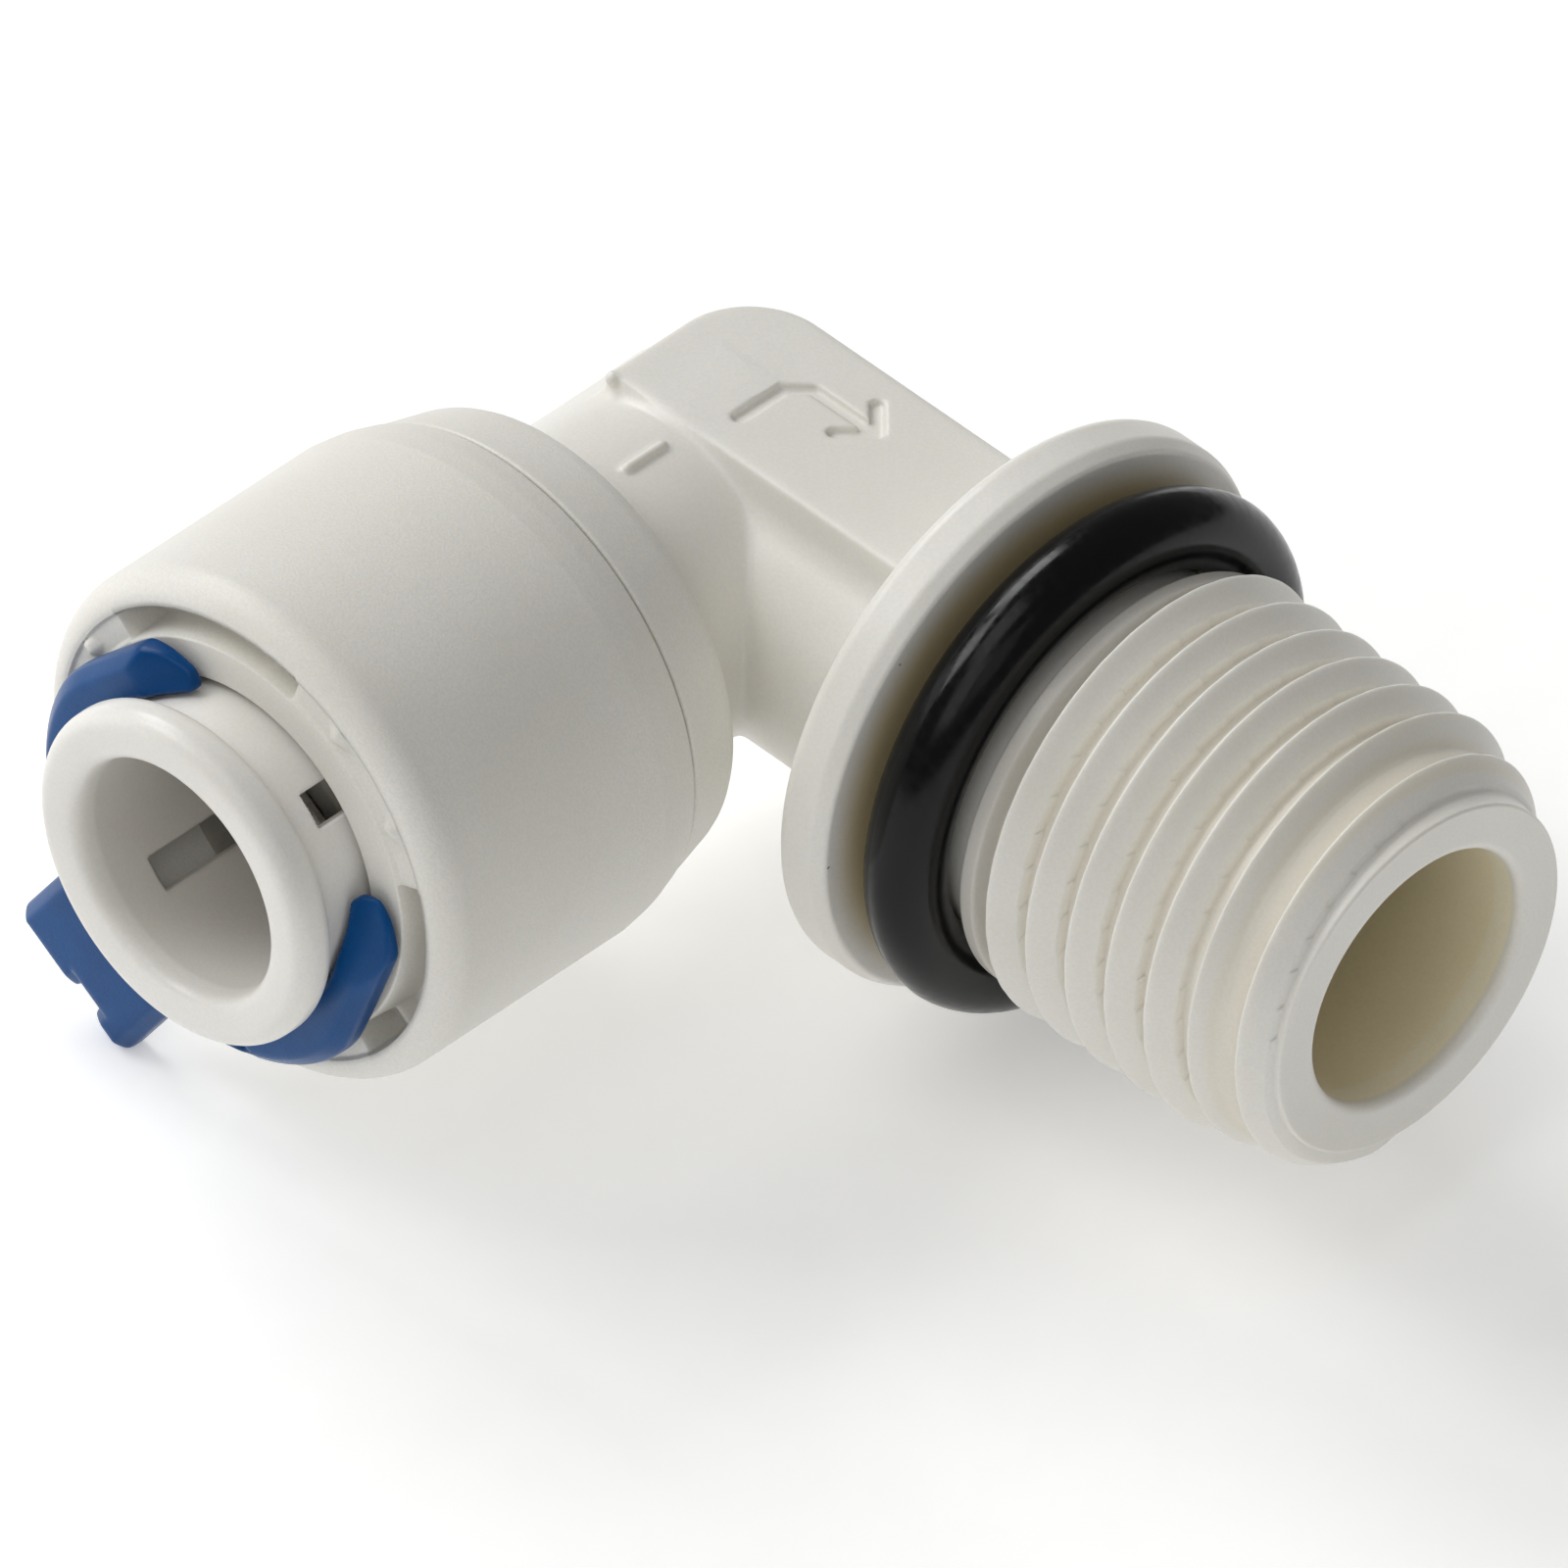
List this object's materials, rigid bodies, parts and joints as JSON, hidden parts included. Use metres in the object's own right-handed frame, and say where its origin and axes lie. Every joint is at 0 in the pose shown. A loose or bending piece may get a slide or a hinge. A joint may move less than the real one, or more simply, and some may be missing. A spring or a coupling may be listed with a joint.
{
  "type": "push to connect elbow fitting",
  "caption": "Right-angle push to connect fitting: tube socket with a locking collet and clip on one arm, a flanged male thread with an O-ring on the other.",
  "frame": {"origin": "centre of the bounding box's bottom face, on the plane the fitting lies on", "axes": "+X along the male thread, out of its open end; -Y out of the tube socket; +Z square to the elbow's flat pads"},
  "size_m": [0.0306, 0.0278, 0.0165],
  "materials": {
    "ivory_acetal": "satin, fine moulded grain",
    "collet_acetal": "smooth satin",
    "blue_acetal": "satin",
    "black_rubber": "smooth, slightly greasy",
    "stainless_steel": "bright stamped"
  },
  "bodies": {
    "fitting": {"elbow_body": "ivory_acetal", "retaining_cap": "ivory_acetal", "spacer_ring": "ivory_acetal", "thread_o_ring": "black_rubber", "tube_o_ring": "black_rubber"},
    "collet": {"collet": "collet_acetal", "grip_tooth_1": "stainless_steel", "grip_tooth_2": "stainless_steel", "grip_tooth_3": "stainless_steel", "grip_tooth_4": "stainless_steel"},
    "clip": {"locking_clip": "blue_acetal"}
  },
  "joints": [
    {"name": "collet_release", "type": "slide", "parent": "fitting", "child": "collet", "axis": [0, 1, 0], "range_m": [0, 0.0013]},
    {"name": "clip_pull", "type": "slide", "parent": "fitting", "child": "clip", "axis": [-0.5373, 0, -0.8434], "range_m": [0, 0.014], "deforming": ["locking_clip"]}
  ]
}
